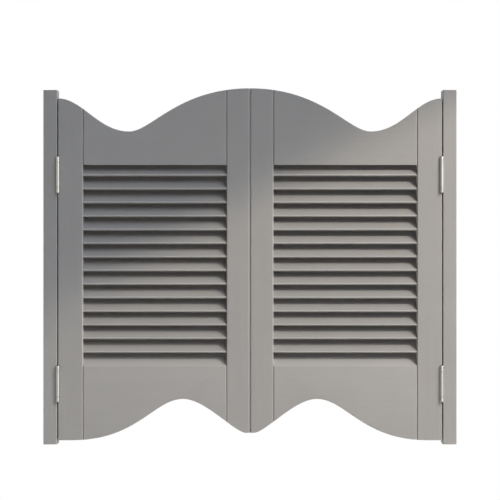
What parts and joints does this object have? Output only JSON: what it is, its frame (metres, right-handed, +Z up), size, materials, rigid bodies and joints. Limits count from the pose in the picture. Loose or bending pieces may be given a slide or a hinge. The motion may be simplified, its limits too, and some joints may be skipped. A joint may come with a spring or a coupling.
{
  "type": "cafe swinging doors",
  "caption": "Louvred half doors with wavy top and bottom edges, hung between two posts on double-action spring hinges so that each leaf swings both ways and closes by itself.",
  "frame": {"origin": "on the doorway's centre line, at mid thickness of the doors, level with the foot of the posts", "axes": "+X across the doorway to the right as seen from the front, -Y towards the front, +Z up"},
  "size_m": [1, 0.0466, 0.862],
  "materials": {
    "grey_paint": "satin paint, warm grey",
    "hinge_nickel": "satin nickel plate",
    "spring_steel": "oiled spring wire and drawn pin"
  },
  "bodies": {
    "posts": {"left_post": "grey_paint", "right_post": "grey_paint", "left_upper_jamb_plate": "hinge_nickel", "left_upper_jamb_spring_pin": "spring_steel", "left_lower_jamb_plate": "hinge_nickel", "left_lower_jamb_spring_pin": "spring_steel", "right_upper_jamb_plate": "hinge_nickel", "right_upper_jamb_spring_pin": "spring_steel", "right_lower_jamb_plate": "hinge_nickel", "right_lower_jamb_spring_pin": "spring_steel"},
    "left_flanges": {"left_upper_centre_flange": "hinge_nickel", "left_lower_centre_flange": "hinge_nickel"},
    "left_leaf": {"left_hinge_stile": "grey_paint", "left_meeting_stile": "grey_paint", "left_top_rail": "grey_paint", "left_bottom_rail": "grey_paint", "left_slat_01": "grey_paint", "left_slat_02": "grey_paint", "left_slat_03": "grey_paint", "left_slat_04": "grey_paint", "left_slat_05": "grey_paint", "left_slat_06": "grey_paint", "left_slat_07": "grey_paint", "left_slat_08": "grey_paint", "left_slat_09": "grey_paint", "left_slat_10": "grey_paint", "left_slat_11": "grey_paint", "left_slat_12": "grey_paint", "left_slat_13": "grey_paint", "left_slat_14": "grey_paint", "left_upper_door_plate": "hinge_nickel", "left_upper_door_spring_pin": "spring_steel", "left_lower_door_plate": "hinge_nickel", "left_lower_door_spring_pin": "spring_steel"},
    "right_flanges": {"right_upper_centre_flange": "hinge_nickel", "right_lower_centre_flange": "hinge_nickel"},
    "right_leaf": {"right_hinge_stile": "grey_paint", "right_meeting_stile": "grey_paint", "right_top_rail": "grey_paint", "right_bottom_rail": "grey_paint", "right_slat_01": "grey_paint", "right_slat_02": "grey_paint", "right_slat_03": "grey_paint", "right_slat_04": "grey_paint", "right_slat_05": "grey_paint", "right_slat_06": "grey_paint", "right_slat_07": "grey_paint", "right_slat_08": "grey_paint", "right_slat_09": "grey_paint", "right_slat_10": "grey_paint", "right_slat_11": "grey_paint", "right_slat_12": "grey_paint", "right_slat_13": "grey_paint", "right_slat_14": "grey_paint", "right_upper_door_plate": "hinge_nickel", "right_upper_door_spring_pin": "spring_steel", "right_lower_door_plate": "hinge_nickel", "right_lower_door_spring_pin": "spring_steel"}
  },
  "joints": [
    {"name": "left_front_swing", "type": "hinge", "parent": "posts", "child": "left_flanges", "pos_m": [-0.4644, -0.0185, 0.3997], "axis": [0, 0, -1], "range_deg": [0, 90], "stiffness_Nm_per_rad": 1.2, "springref_deg": -40.11},
    {"name": "left_back_swing", "type": "hinge", "parent": "left_flanges", "child": "left_leaf", "pos_m": [-0.4644, 0.0185, 0.3997], "axis": [0, 0, 1], "range_deg": [0, 90], "stiffness_Nm_per_rad": 1.2, "springref_deg": -40.11},
    {"name": "right_back_swing", "type": "hinge", "parent": "posts", "child": "right_flanges", "pos_m": [0.4644, 0.0185, 0.3997], "axis": [0, 0, -1], "range_deg": [0, 90], "stiffness_Nm_per_rad": 1.2, "springref_deg": -40.11},
    {"name": "right_front_swing", "type": "hinge", "parent": "right_flanges", "child": "right_leaf", "pos_m": [0.4644, -0.0185, 0.3997], "axis": [0, 0, 1], "range_deg": [0, 90], "stiffness_Nm_per_rad": 1.2, "springref_deg": -40.11}
  ]
}
